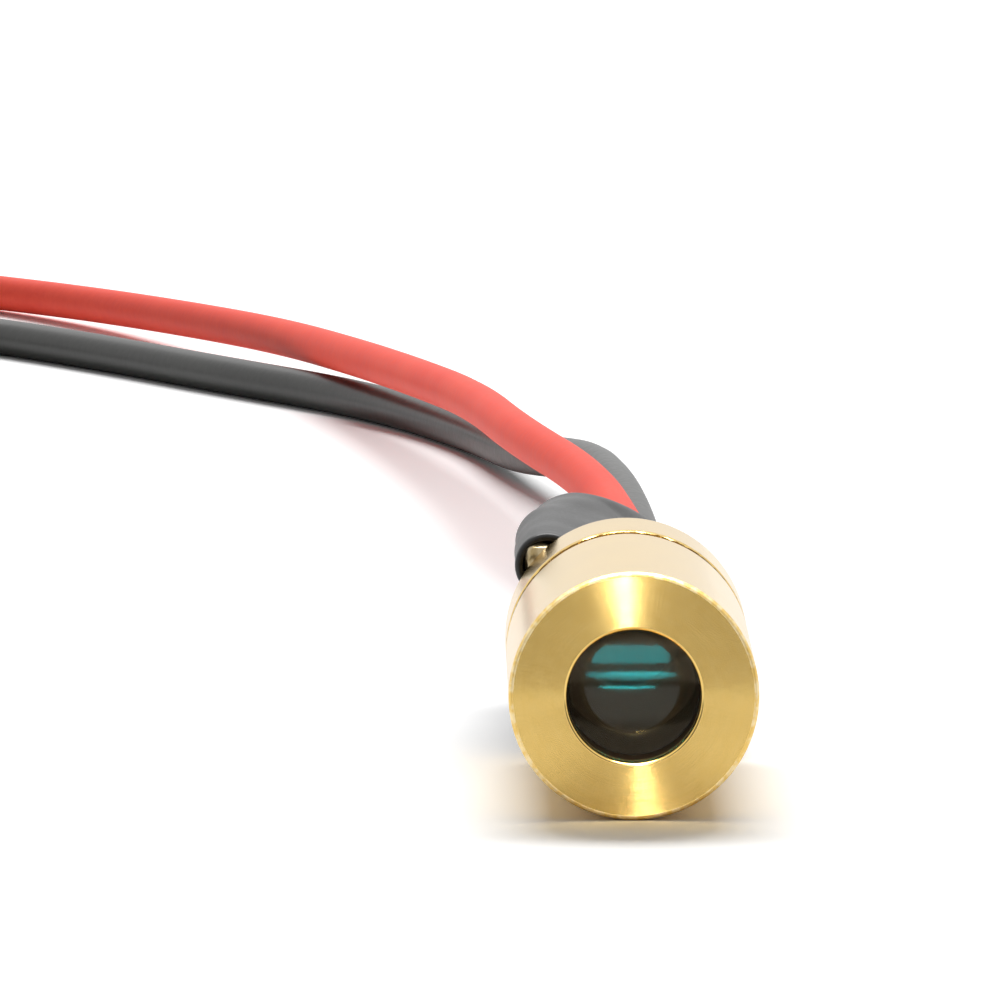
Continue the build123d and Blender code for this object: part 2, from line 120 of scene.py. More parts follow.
# %% Leads as smooth splines
WIRE_DIAMETER = 1.2 * MM
SPLINE_STEPS = 24
SPLINE_ORDER = 3
ROUNDNESS = 8
RED_ROUTE = [
    (0.00058, 0.0105, 0.00320),
    (0.00030, 0.0169, 0.00317),
    (-0.00041, 0.0254, 0.00337),
    (-0.00233, 0.0356, 0.00334),
    (-0.00342, 0.0460, 0.00304),
    (-0.00514, 0.0560, 0.00255),
    (-0.00720, 0.0659, 0.00207),
    (-0.00974, 0.0760, 0.00159),
    (-0.01330, 0.0857, 0.00111),
    (-0.01710, 0.0936, 0.00077),
    (-0.02200, 0.1001, 0.00060),
    (-0.02840, 0.1029, 0.00060),
    (-0.03440, 0.1007, 0.00060),
    (-0.03780, 0.0951, 0.00060),
    (-0.03840, 0.0881, 0.00060),
]
BLACK_ROUTE = [
    (0.00090, 0.0105, 0.00200),
    (0.00092, 0.0159, 0.00195),
    (0.00088, 0.0234, 0.00212),
    (0.00051, 0.0323, 0.00225),
    (-0.00021, 0.0412, 0.00195),
    (-0.00204, 0.0497, 0.00093),
    (-0.00352, 0.0583, 0.00060),
    (-0.00670, 0.0665, 0.00060),
    (-0.01170, 0.0738, 0.00060),
    (-0.01590, 0.0802, 0.00060),
    (-0.02060, 0.0863, 0.00060),
    (-0.02640, 0.0899, 0.00060),
    (-0.03220, 0.0889, 0.00060),
    (-0.03560, 0.0837, 0.00060),
    (-0.03600, 0.0771, 0.00060),
]


def lead(name, route):
    """A round lead whose spline takes the route's points as its control points."""
    curve = bpy.data.curves.new(name, "CURVE")
    curve.dimensions = "3D"
    curve.resolution_u = SPLINE_STEPS
    curve.bevel_depth = 1
    curve.bevel_resolution = ROUNDNESS
    curve.use_fill_caps = True
    spline = curve.splines.new("NURBS")
    spline.points.add(len(route) - 1)
    for point, place in zip(spline.points, route):
        point.co = (*place, 1)
        point.radius = WIRE_DIAMETER / 2
    spline.order_u = SPLINE_ORDER
    spline.use_endpoint_u = True
    piece = bpy.data.objects.new(name, curve)
    bpy.context.scene.collection.objects.link(piece)
    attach(piece, "root")
    print(name, "has", len(route), "control points")
    return piece


red_lead = lead("red_lead", RED_ROUTE)
black_lead = lead("black_lead", BLACK_ROUTE)
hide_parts("red_wire")
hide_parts("black_wire")

# %% [markdown]
# Turned parts are made as on a lathe: half of the section is drawn point by point with vertex extrudes,
# and then spun about the optical axis. A cylinder with bevels could be cut and inset instead, but a
# section keeps every step, bore and rounded edge in one list that can be read against a drawing.

# %% Lathe helpers
SPIN_STEPS = 224
MERGE_DISTANCE = 1e-7
SMOOTH_ANGLE = math.radians(32)


def draw_section(name, outline):
    """Draw a section as a chain of vertices from (mm behind the front face, mm radius) points."""
    places = [Vector((radius * MM, FRONT + station * MM, AXIS_HEIGHT)) for station, radius in outline]
    bpy.ops.object.select_all(action="DESELECT")
    bpy.ops.mesh.primitive_plane_add(size=BODY_RADIUS)
    piece = bpy.context.object
    piece.name = name
    bpy.ops.object.mode_set(mode="EDIT")
    bpy.ops.mesh.select_all(action="SELECT")
    bpy.ops.mesh.merge(type="CENTER")
    bpy.ops.transform.translate(value=places[0])
    for before, after in zip(places, places[1:]):
        bpy.ops.mesh.extrude_vertices_move(TRANSFORM_OT_translate={"value": after - before})
    return piece


def spin_section(piece):
    """Spin the drawn section once round the optical axis and close it."""
    bpy.ops.mesh.select_all(action="SELECT")
    bpy.ops.mesh.remove_doubles(threshold=MERGE_DISTANCE)
    bpy.ops.mesh.select_all(action="SELECT")
    bpy.ops.mesh.spin(steps=SPIN_STEPS, angle=2 * math.pi, center=(0, 0, AXIS_HEIGHT), axis=(0, 1, 0))
    bpy.ops.mesh.select_all(action="SELECT")
    bpy.ops.mesh.remove_doubles(threshold=MERGE_DISTANCE)
    bpy.ops.mesh.normals_make_consistent(inside=False)
    bpy.ops.object.mode_set(mode="OBJECT")
    bpy.ops.object.shade_smooth_by_angle(angle=SMOOTH_ANGLE)
    print(piece.name, "has", len(piece.data.polygons), "faces")
    return piece


def rounded(centre, radius, start, end, steps=4):
    """Points of a round edge, as (station, radius), between two angles in degrees."""
    points = []
    for step in range(steps + 1):
        angle = math.radians(start + (end - start) * step / steps)
        points.append((centre[0] - radius * math.sin(angle), centre[1] + radius * math.cos(angle)))
    return points


# %% [markdown]
# The front cap is a brass cup with the beam's aperture in its floor. Its section runs from the aperture
# over the face to the rear edge, and back through the bores. The face gets its real turning grooves, a
# few micrometres deep, because they draw the bright upright streaks. The rear edge is eased off so that
# the seam shows from the front, and an extra ring beside each edge keeps the walls' shading flat.

# %% Front cap with turning grooves
OUTER = BODY_RADIUS / MM
APERTURE = 1.6
FRONT_WALL = 1.3
LENS_BORE = 2.35
SPIGOT_BORE = 2.62
SHOULDER = 4.95
SEAM = 7.5
EDGE = 0.10
BORE_EDGE = 0.09
STAY = 0.06
SEAM_RELIEF = (0.60, 0.11)
GROOVE_PITCH = 0.024
GROOVE_DEPTH = 0.0032
GROOVE_SHAPE = (0.5, 1.0, 0.5, 0.0)
GROOVE_SEED = 7
SHALLOWEST_GROOVE = 0.78


def turning_grooves(inner, outer):
    """Fine round grooves across the front face, uneven as a hand-fed tool leaves them."""
    chance = random.Random(GROOVE_SEED)
    count = int((outer - inner) / GROOVE_PITCH)
    pitch = (outer - inner) / count
    points = []
    for index in range(count):
        depth = GROOVE_DEPTH * chance.uniform(SHALLOWEST_GROOVE, 1.0)
        for step, share in enumerate(GROOVE_SHAPE):
            points.append((depth * share, inner + pitch * (index + (step + 1) / len(GROOVE_SHAPE))))
    return points[:-1]


cap_outline = [(FRONT_WALL, APERTURE)]
cap_outline += rounded((BORE_EDGE, APERTURE + BORE_EDGE), BORE_EDGE, 180, 90)
cap_outline += turning_grooves(APERTURE + BORE_EDGE, OUTER - EDGE)
cap_outline += rounded((EDGE, OUTER - EDGE), EDGE, 90, 0)
cap_outline += [(EDGE + STAY, OUTER), (SEAM - SEAM_RELIEF[0] - STAY, OUTER)]
cap_outline += [(SEAM - SEAM_RELIEF[0], OUTER), (SEAM, OUTER - SEAM_RELIEF[1])]
cap_outline += [(SEAM, SPIGOT_BORE), (SHOULDER, SPIGOT_BORE), (SHOULDER, LENS_BORE)]
cap_outline += [(FRONT_WALL, LENS_BORE), (FRONT_WALL, APERTURE)]
front_cap = spin_section(draw_section("brass_front_cap", cap_outline))

# %% [markdown]
# A small brass part that has rolled about among others has nicks in its front edge, and they glint. The
# vertices of a few short stretches of that edge are pushed about a little.

# %% Nicks in the front edge
NICK_TURNS = (38, 75, 127, 152, 214, 301)
NICK_REACH = 1.8
NICK_DEPTH = 0.07
NICK_SIZE = 0.025 * MM
NICK_SEED = 3
STATION_SLACK = 0.001


def roughen(piece, chosen, size, seed):
    """Push about the vertices that a test of station, radius and turn chooses."""
    bpy.ops.object.select_all(action="DESELECT")
    bpy.context.view_layer.objects.active = piece
    piece.select_set(True)
    bpy.ops.object.mode_set(mode="EDIT")
    bpy.ops.mesh.select_all(action="DESELECT")
    bpy.ops.object.mode_set(mode="OBJECT")
    count = 0
    for vertex in piece.data.vertices:
        rise = vertex.co.z - AXIS_HEIGHT
        radius = math.hypot(vertex.co.x, rise) / MM
        turn = math.degrees(math.atan2(rise, vertex.co.x)) % 360
        vertex.select = chosen((vertex.co.y - FRONT) / MM, radius, turn)
        count += vertex.select
    bpy.ops.object.mode_set(mode="EDIT")
    bpy.ops.transform.vertex_random(offset=size, seed=seed)
    bpy.ops.object.mode_set(mode="OBJECT")
    print(piece.name, "has", count, "vertices pushed about")


def on_nick(station, radius, turn):
    """True on the nicked stretches of the front edge."""
    if station > NICK_DEPTH or radius < OUTER - NICK_DEPTH:
        return False
    return any(abs(turn - nick) < NICK_REACH for nick in NICK_TURNS)


roughen(front_cap, on_nick, NICK_SIZE, NICK_SEED)
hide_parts("front_cap")
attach(front_cap, "root")

# %% [markdown]
# The barrel is the rear half of the body: it plugs into the cap and seats the diode. A sharp little lip
# stands at the seam, where the parting tool left a burr, and it catches the light from above.

# %% Barrel behind the seam
SPIGOT = 2.60
SPIGOT_FRONT = 5.1
BODY_END = 10.0
REAR_EDGE = 0.10
DIODE_OPENING = 1.1
OPENING_BACK = 5.9
DIODE_CAVITY = 1.55
STEM_SEAT = 1.92
STEM_FRONT = 8.8
LIP = (0.08, 0.035)
BURR_REACH = 0.1
BURR_SIZE = 0.02 * MM
BURR_SEED = 5

barrel_outline = [(SPIGOT_FRONT, DIODE_OPENING), (SPIGOT_FRONT, SPIGOT), (SEAM, SPIGOT)]
barrel_outline += [(SEAM, OUTER - LIP[1]), (SEAM + LIP[0], OUTER), (SEAM + LIP[0] + STAY, OUTER)]
barrel_outline += [(BODY_END - REAR_EDGE - STAY, OUTER)]
barrel_outline += rounded((BODY_END - REAR_EDGE, OUTER - REAR_EDGE), REAR_EDGE, 0, -90)
barrel_outline += [(BODY_END, STEM_SEAT), (STEM_FRONT, STEM_SEAT), (STEM_FRONT, DIODE_CAVITY)]
barrel_outline += [(OPENING_BACK, DIODE_CAVITY), (OPENING_BACK, DIODE_OPENING)]
barrel_outline += [(SPIGOT_FRONT, DIODE_OPENING)]
barrel = spin_section(draw_section("brass_barrel", barrel_outline))


def on_burr(station, radius, turn):
    """True on the sharp corner of the barrel's lip."""
    return math.isclose(station, SEAM, abs_tol=STATION_SLACK) and OUTER - BURR_REACH < radius < OUTER


roughen(barrel, on_burr, BURR_SIZE, BURR_SEED)
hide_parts("barrel")
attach(barrel, "root")

# %% [markdown]
# The lens is one moulded piece: a flat rim that the cap holds, and a dome on each side. Its domes are
# spun from many points, because the blue-green bands in it are reflections and show every facet.

# %% Coated lens
LENS_RADIUS = 2.30
LENS_BACK = 3.5
FRONT_DOME = 1.55
FRONT_SAG = 0.20
BACK_DOME = 1.75
BACK_SAG = 0.25
DOME_STEPS = 28


def dome(base, radius, sag, direction):
    """Points of a dome from its foot to its top, as (station, radius)."""
    sphere = (radius**2 + sag**2) / (2 * sag)
    centre = base - direction * (sphere - sag)
    points = []
    for step in range(DOME_STEPS + 1):
        distance = radius * (1 - step / DOME_STEPS)
        points.append((centre + direction * math.sqrt(sphere**2 - distance**2), distance))
    return points


lens_outline = dome(FRONT_WALL, FRONT_DOME, FRONT_SAG, -1)[::-1]
lens_outline += [(FRONT_WALL, LENS_RADIUS), (LENS_BACK, LENS_RADIUS)]
lens_outline += dome(LENS_BACK, BACK_DOME, BACK_SAG, 1)
lens = spin_section(draw_section("coated_lens", lens_outline))
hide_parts("collimating_lens")
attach(lens, "root")

# %% [markdown]
# The sleeve is a plastic tube shrunk with hot air over the board, so it is flat and wide at its open
# mouth and tight round the two leads at its tail. A ring of points is extruded along the axis, each
# ring is then laid on its own outline, and Solidify gives the wall its thickness.

# %% Sizes along the sleeve
SLEEVE_POINTS = 96
SLEEVE_RINGS = 56
SLEEVE_WALL = 0.22 * MM
STRAIGHT_RUNS = (0, 2)
SLEEVE_SECTIONS = [
    # station, shift right, shift down, turn, reach, end radius, middle radius
    (10.3, 0.0, 0.0, 42.0, 2.64, 0.82, 1.38),
    (15.0, 0.0, 0.0, 42.0, 2.50, 0.85, 1.82),
    (20.0, 0.0, 0.0, 42.0, 1.56, 1.30, 1.36),
    (22.5, 0.55, 0.25, 66.0, 0.85, 1.00, 1.20),
    (25.0, 0.778, 0.415, 78.0, 0.619, 0.83, 0.94),
]


def eased(section_index, share):
    """Sizes between two of the sleeve's sections, with a smooth start and end."""
    before = SLEEVE_SECTIONS[section_index]
    after = SLEEVE_SECTIONS[section_index + 1]
    smooth = share if section_index in STRAIGHT_RUNS else share * share * (3 - 2 * share)
    return [low + (high - low) * smooth for low, high in zip(before[1:], after[1:])]


def sleeve_sizes(station):
    """Shift, turn, reach and radii at a station behind the front face."""
    for index in range(len(SLEEVE_SECTIONS) - 1):
        start = SLEEVE_SECTIONS[index][0]
        end = SLEEVE_SECTIONS[index + 1][0]
        if station <= end:
            return eased(index, (station - start) / (end - start))
    return SLEEVE_SECTIONS[-1][1:]


mouth = SLEEVE_SECTIONS[0][0]
tail = SLEEVE_SECTIONS[-1][0]
ring_step = (tail - mouth) / SLEEVE_RINGS
print("sleeve from", mouth, "to", tail, "mm behind the front face")

# %% [markdown]
# A ring of the sleeve lies like a band pulled tight round three circles: one at each edge of the board
# and one over the parts on its middle. Small ripples are added, because shrunk plastic is never even.

# %% Rings of the sleeve
HULL_STEPS = 720
TINY = 1e-9
WRINKLE = 0.028
RIPPLES = [
    # size, radians per mm along the axis, waves round it, start
    (1.0, 1.9, 3, 0.0),
    (0.7, 3.1, -5, 1.0),
    (0.5, 0.8, 11, 2.0),
]
RIPPLE_SHIFT = 1.2
RIPPLE_RANGE = 2.2


def hull_outline(reach, end_radius, middle_radius):
    """Even points round two end circles and a middle circle, as a band pulled tight would lie."""
    circles = [(reach, end_radius), (0.0, middle_radius), (-reach, end_radius)]
    dense = []
    for step in range(HULL_STEPS):
        angle = 2 * math.pi * step / HULL_STEPS
        place, radius = max(circles, key=lambda circle: circle[0] * math.cos(angle) + circle[1])
        dense.append(Vector((place + radius * math.cos(angle), radius * math.sin(angle))))
    dense.append(dense[0].copy())
    lengths = [0.0]
    for before, after in zip(dense, dense[1:]):
        lengths.append(lengths[-1] + (after - before).length)
    points = []
    index = 0
    for count in range(SLEEVE_POINTS):
        wanted = lengths[-1] * count / SLEEVE_POINTS
        while lengths[index + 1] < wanted:
            index += 1
        share = (wanted - lengths[index]) / max(lengths[index + 1] - lengths[index], TINY)
        points.append(dense[index].lerp(dense[index + 1], share))
    return points


def sleeve_ring(station):
    """One ring of the sleeve in the object's frame, with the small ripples of shrunk plastic."""
    right_shift, down_shift, turn, reach, end_radius, middle_radius = sleeve_sizes(station)
    turn = math.radians(turn)
    ring = []
    for index, point in enumerate(hull_outline(reach, end_radius, middle_radius)):
        around = 2 * math.pi * index / SLEEVE_POINTS
        ripple = 0.0
        for size, lengthwise, crosswise, start in RIPPLES:
            ripple += size * math.sin(lengthwise * station + crosswise * around + start)
        point = point + point.normalized() * WRINKLE * (ripple - RIPPLE_SHIFT) / RIPPLE_RANGE
        across = point.x * math.cos(turn) - point.y * math.sin(turn) + right_shift
        down = point.x * math.sin(turn) + point.y * math.cos(turn) + down_shift
        ring.append(Vector((across * MM, FRONT + station * MM, AXIS_HEIGHT - down * MM)))
    return ring


sleeve_rings = [sleeve_ring(mouth + ring_step * ring) for ring in range(SLEEVE_RINGS + 1)]
plug_centre = sum(sleeve_rings[-1], Vector()) / SLEEVE_POINTS
print(len(sleeve_rings), "rings of", SLEEVE_POINTS, "points")

# %% [markdown]
# The tube starts as a circle that is extruded ring by ring, so its faces are in order, and every vertex
# then moves to its place on its own ring. The tail's end is closed with a sunk plug round the leads.

# %% Tube of the sleeve
PLUG_SHARE = 0.8
PLUG_DEPTH = 0.15 * MM
PLUG_INSET = 0.25 * MM
PLUG_STEP = -0.12 * MM
PLUG_EDGE = 0.99

bpy.ops.object.select_all(action="DESELECT")
bpy.ops.mesh.primitive_circle_add(vertices=SLEEVE_POINTS, radius=BODY_RADIUS)
sleeve = bpy.context.object
sleeve.name = "shrink_sleeve_skin"
bpy.ops.object.mode_set(mode="EDIT")
bpy.ops.mesh.select_all(action="SELECT")
for ring in range(SLEEVE_RINGS):
    bpy.ops.mesh.extrude_region_move(TRANSFORM_OT_translate={"value": (0, 0, ring_step * MM)})
bpy.ops.mesh.edge_face_add()
bpy.ops.mesh.inset(thickness=PLUG_INSET, depth=PLUG_STEP)
bpy.ops.object.mode_set(mode="OBJECT")
for vertex in sleeve.data.vertices:
    around = round(math.atan2(vertex.co.y, vertex.co.x) / (2 * math.pi) * SLEEVE_POINTS) % SLEEVE_POINTS
    if math.hypot(vertex.co.x, vertex.co.y) < BODY_RADIUS * PLUG_EDGE:
        vertex.co = plug_centre.lerp(sleeve_rings[-1][around], PLUG_SHARE) - Vector((0, PLUG_DEPTH, 0))
    else:
        vertex.co = sleeve_rings[round(vertex.co.z / (ring_step * MM))][around]
bpy.ops.object.mode_set(mode="EDIT")
bpy.ops.mesh.select_all(action="SELECT")
bpy.ops.mesh.normals_make_consistent(inside=False)
bpy.ops.object.mode_set(mode="OBJECT")
wall = sleeve.modifiers.new("wall", "SOLIDIFY")
wall.thickness = SLEEVE_WALL
wall.offset = -1
bpy.ops.object.modifier_apply(modifier="wall")
skin = sleeve.modifiers.new("skin", "SUBSURF")
skin.levels = 1
skin.render_levels = 1
bpy.ops.object.modifier_apply(modifier="skin")
bpy.ops.object.shade_smooth()
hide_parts("shrink_sleeve")
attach(sleeve, "root")
print("sleeve has", len(sleeve.data.polygons), "faces")

# %% [markdown]
# Lumps of solder hold the board's edges to the rear of the barrel, and some glint in the sleeve's mouth.
# A lump could be a metaball, but it has to fill the box of its solid. So it is a small block,
# subdivided, rounded towards a ball and pushed about a little, because solder sets unevenly.

# %% Solder beads at the mouth
BEAD_SEED = 11
BEAD_FILL = 0.88
BEAD_CUTS = 9
BEAD_ROUNDING = 0.7
BEAD_LUMPS = 0.12


def solder_bead(name, low, high, seed):
    """A lump of solder that fills a box between two corners."""
    size = high - low
    bpy.ops.object.select_all(action="DESELECT")
    bpy.ops.mesh.primitive_cube_add(size=1)
    bead = bpy.context.object
    bead.name = name
    bpy.ops.object.mode_set(mode="EDIT")
    bpy.ops.mesh.select_all(action="SELECT")
    bpy.ops.mesh.subdivide(number_cuts=BEAD_CUTS)
    bpy.ops.transform.tosphere(value=BEAD_ROUNDING)
    bpy.ops.transform.vertex_random(offset=BEAD_LUMPS, seed=seed)
    bpy.ops.mesh.vertices_smooth(factor=0.5, repeat=2)
    bpy.ops.transform.resize(value=size * BEAD_FILL, center_override=(0, 0, 0))
    bpy.ops.transform.translate(value=(low + high) / 2)
    bpy.ops.object.mode_set(mode="OBJECT")
    bpy.ops.object.shade_smooth()
    return bead


def loose_solids(node):
    """Boxes of the separate solids in a CAD node, from a merged copy of its mesh."""
    bpy.ops.object.select_all(action="DESELECT")
    copy = nodes[node].copy()
    copy.data = nodes[node].data.copy()
    bpy.context.scene.collection.objects.link(copy)
    bpy.context.view_layer.objects.active = copy
    copy.select_set(True)
    bpy.ops.object.mode_set(mode="EDIT")
    bpy.ops.mesh.select_all(action="SELECT")
    bpy.ops.mesh.remove_doubles(threshold=MERGE_DISTANCE)
    bpy.ops.mesh.separate(type="LOOSE")
    bpy.ops.object.mode_set(mode="OBJECT")
    boxes = []
    for part in list(bpy.context.selected_objects):
        corners = [vertex.co for vertex in part.data.vertices]
        low = Vector([min(corner[axis] for corner in corners) for axis in range(3)])
        high = Vector([max(corner[axis] for corner in corners) for axis in range(3)])
        boxes.append((low, high))
        bpy.data.objects.remove(part)
    return sorted(boxes, key=lambda box: tuple(round(value, 5) for value in box[0]))


beads = []
for number, (low, high) in enumerate(loose_solids("board_solder")):
    beads.append(solder_bead("board_solder_bead_%d" % (number + 1), low, high, BEAD_SEED + number))
bpy.ops.object.select_all(action="DESELECT")
for bead in beads:
    bead.select_set(True)
bpy.context.view_layer.objects.active = beads[0]
bpy.ops.object.join()
mouth_solder = bpy.context.object
mouth_solder.name = "mouth_solder"
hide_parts("board_solder")
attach(mouth_solder, "root")
print("mouth solder has", len(beads), "beads")

# %% [markdown]
# Each lead's far end is stripped and tinned: seven fine strands twisted together. One strand is a small
# ring extruded along the wire and turned a little at each step, and the others are copies of it turned
# round the core.

# %% Tinned ends
STRAND_SHARE = 1 / 3
STRAND_STEPS = 14
STRAND_TWIST = math.radians(150)
STRAND_SIDES = 10
OUTER_STRANDS = 6
CORE_SIDES = 12
CORE_SHARE = 1.05


def tinned_end(name, node, route):
    """Seven twisted strands that continue a lead's last run, as long and thick as the CAD node."""
    end = Vector(route[-1])
    along = (end - Vector(route[-2])).normalized()
    low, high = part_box(node)
    radius = (high.z - low.z) / 2
    length = (high.x - low.x - 2 * radius * abs(along.y)) / abs(along.x)
    strand = radius * STRAND_SHARE
    bpy.ops.object.select_all(action="DESELECT")
    bpy.ops.mesh.primitive_circle_add(vertices=STRAND_SIDES, radius=strand, fill_type="NGON")
    piece = bpy.context.object
    piece.name = name
    bpy.ops.object.mode_set(mode="EDIT")
    bpy.ops.mesh.select_all(action="SELECT")
    bpy.ops.transform.translate(value=(radius - strand, 0, 0))
    for step in range(STRAND_STEPS):
        bpy.ops.mesh.extrude_region_move(TRANSFORM_OT_translate={"value": (0, 0, length / STRAND_STEPS)})
        bpy.ops.transform.rotate(
            value=STRAND_TWIST / STRAND_STEPS, orient_axis="Z", center_override=(0, 0, length)
        )
    bpy.ops.mesh.select_all(action="SELECT")
    for copy in range(OUTER_STRANDS - 1):
        bpy.ops.mesh.duplicate()
        bpy.ops.transform.rotate(
            value=2 * math.pi / OUTER_STRANDS, orient_axis="Z", center_override=(0, 0, 0)
        )
    bpy.ops.mesh.primitive_cylinder_add(vertices=CORE_SIDES, radius=strand * CORE_SHARE, depth=length)
    bpy.ops.transform.translate(value=(0, 0, length / 2))
    bpy.ops.mesh.select_all(action="SELECT")
    bpy.ops.mesh.normals_make_consistent(inside=False)
    bpy.ops.object.mode_set(mode="OBJECT")
    turn_to_run = along.to_track_quat("Z", "Y").to_matrix().to_4x4()
    piece.data.transform(Matrix.Translation(end) @ turn_to_run)
    bpy.ops.object.shade_smooth_by_angle(angle=SMOOTH_ANGLE)
    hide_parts(node)
    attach(piece, "root")
    print(name, "is", round(length / MM, 2), "mm long")
    return piece


red_end = tinned_end("red_twisted_end", "red_tinned_end", RED_ROUTE)
black_end = tinned_end("black_twisted_end", "black_tinned_end", BLACK_ROUTE)

# %% [markdown]
# A finish is one Principled shader fed by a few nodes. Sums of shader values are written as plain Python,
# so a mask reads as it would on paper, and every other node comes from one method.

# %% Shader helpers


class Value:
    """A shader socket that can be used in Python sums."""

    def __init__(self, finish, socket):
        self.finish = finish
        self.socket = socket

    def work(self, operation, first, second):
        """One step of a sum, as a Math node."""
        return self.finish.node("ShaderNodeMath", {"operation": operation}, {0: first, 1: second})

    def __add__(self, other):
        return self.work("ADD", self, other)

    def __radd__(self, other):
        return self.work("ADD", other, self)

    def __sub__(self, other):
        return self.work("SUBTRACT", self, other)

    def __rsub__(self, other):
        return self.work("SUBTRACT", other, self)

    def __mul__(self, other):
        return self.work("MULTIPLY", self, other)

    def __rmul__(self, other):
        return self.work("MULTIPLY", other, self)

    def __pow__(self, other):
        return self.work("POWER", self, other)

    def __gt__(self, other):
        return self.work("GREATER_THAN", self, other)

    def __lt__(self, other):
        return self.work("LESS_THAN", self, other)


class Finish:
    """A material with one Principled shader."""

    def __init__(self, name):
        self.material = bpy.data.materials.new(name)
        self.material.use_nodes = True
        self.tree = self.material.node_tree
        self.shader = self.tree.nodes["Principled BSDF"]
        self.place = self.node("ShaderNodeTexCoord", output="Object")

    def node(self, kind, settings=None, sockets=None, output=0):
        """Add a node, set it up and give one of its outputs."""
        made = self.tree.nodes.new(kind)
        for name, value in (settings or {}).items():
            setattr(made, name, value)
        for name, value in (sockets or {}).items():
            self.feed(made.inputs[name], value)
        return Value(self, made.outputs[output])

    def feed(self, socket, value):
        """Link a shader value to a socket, or set the socket to a plain value."""
        if isinstance(value, Value):
            self.tree.links.new(value.socket, socket)
        else:
            socket.default_value = value

    def noise(self, size, detail=2.0, place=None):
        """Noise whose patches are about a size in metres across."""
        return self.node(
            "ShaderNodeTexNoise",
            sockets={"Vector": place or self.place, "Scale": 1 / size, "Detail": detail},
            output="Fac",
        )

    def between(self, value, low, high):
        """A value stretched so that low becomes 0 and high becomes 1."""
        limits = {"Value": value, "From Min": low, "From Max": high}
        return self.node("ShaderNodeMapRange", sockets=limits, output="Result")

    def mix(self, factor, first, second):
        """A colour between two colours."""
        return self.node("ShaderNodeMix", {"data_type": "RGBA"}, {0: factor, 6: first, 7: second}, output=2)

    def part(self, axis):
        """One coordinate of the place, in metres."""
        return self.node("ShaderNodeSeparateXYZ", sockets={"Vector": self.place}, output=axis)

    def surface(self, sockets, height=None, distance=0.0):
        """Feed the shader, with a bump where a height is given."""
        for name, value in sockets.items():
            self.feed(self.shader.inputs[name], value)
        if height is not None:
            shape = {"Distance": distance, "Height": height}
            bump = self.node("ShaderNodeBump", sockets=shape, output="Normal")
            self.feed(self.shader.inputs["Normal"], bump)

    def put_on(self, *pieces):
        """Give the finish to pieces."""
        for piece in pieces:
            piece.data.materials.clear()
            piece.data.materials.append(self.material)
        print(self.material.name, "on", ", ".join(piece.name for piece in pieces))


def colour(red, green, blue):
    """A linear colour as a shader socket wants it."""
    return (red, green, blue, 1.0)


# %% [markdown]
# Brass from the lathe is bright where the tool last passed. Inside the bores and along the seam the colour
# is taken down to a near-black brown, a painted shade for the dark of those hollows, and made rougher
# there.
# Fine rings round the axis vary its colour and gloss, as turning marks do, and the front edge is rubbed
# pale and dull. Each of these is a mask made from the distance behind the face and the distance from the
# axis.
# The mask of the bores also covers the barrel's rear face, and paints the same shade on it.

# %% Turned brass
BRASS_BRIGHT = colour(0.84, 0.585, 0.19)
BRASS_WARM = colour(0.80, 0.54, 0.16)
# Near-black brown, painted as the shade in the bores and along the seam.
BRASS_PAINTED_SHADE = colour(0.055, 0.030, 0.014)
BRASS_WORN = colour(0.90, 0.72, 0.40)
BORE_DEPTH = 1.25 * MM
INSIDE_RADIUS = 2.8 * MM
SEAM_LINE = 0.012 * MM
FACE_DEPTH = 0.05 * MM
RIM_DEPTH = 0.12 * MM
RIM_RADIUS = 2.885 * MM
WALL_START = 0.16 * MM
WALL_END = 0.5 * MM
SEAM_SHADE_AND_DULLNESS = 0.8
RING_HEIGHT = 0.0006 * MM
RING_SIZE = 0.09 * MM
CLOUD_SIZE = 1.6 * MM
MOTTLE_SIZE = 0.20 * MM
BRASS_DETAIL = 3.0
PATCH_RANGE = (0.40, 0.60)

brass = Finish("turned_brass")
across = brass.part("X")
behind = brass.part("Y") - FRONT
height = brass.part("Z") - AXIS_HEIGHT
radius = (across * across + height * height) ** 0.5
ring_place = brass.node("ShaderNodeCombineXYZ", sockets={"X": radius, "Y": behind})
rings = brass.noise(RING_SIZE, BRASS_DETAIL, ring_place)
clouds = brass.noise(CLOUD_SIZE, BRASS_DETAIL)
mottle = brass.noise(MOTTLE_SIZE, BRASS_DETAIL)
inside = (behind > BORE_DEPTH) * (radius < INSIDE_RADIUS)
bore_wall = brass.between(behind, WALL_START, WALL_END) * (radius < INSIDE_RADIUS)
seam_line = (behind > SEAM * MM - SEAM_LINE) * (behind < SEAM * MM + SEAM_LINE)
facing = behind < FACE_DEPTH
# Painted shade: inside the bores, on the bore walls and along the seam the colour goes near-black, and the
# roughness rises.
painted_shade_and_dullness = brass.between(inside + bore_wall + SEAM_SHADE_AND_DULLNESS * seam_line, 0.0, 1.0)
blotches = brass.between(0.35 * rings + 0.30 * clouds + 0.35 * mottle, *PATCH_RANGE)
rim = (behind < RIM_DEPTH) * (radius > RIM_RADIUS)
worn = rim * brass.between(mottle, *PATCH_RANGE)
fresh = brass.mix(worn, brass.mix(blotches, BRASS_WARM, BRASS_BRIGHT), BRASS_WORN)
base_roughness = 0.12 + 0.03 * rings + 0.04 * clouds + 0.03 * mottle
brass.surface(
    {
        "Base Color": brass.mix(painted_shade_and_dullness, fresh, BRASS_PAINTED_SHADE),
        "Metallic": 1.0,
        "Roughness": base_roughness + 0.45 * painted_shade_and_dullness + 0.2 * rim - 0.015 * facing,
        "Coat Weight": 0.05,
        "Coat Roughness": 0.12,
    },
    height=rings,
    distance=RING_HEIGHT,
)
brass.put_on(front_cap, barrel)

# %% [markdown]
# The lens is clear, with a thin coating. Seen from the front it mirrors blue-green bands above and a
# neutral grey below. A strong tint on every reflection would colour the grey too, so the glass keeps a
# faint one, and the bands get their colour from the lamps. The window and the seals are plain glass.

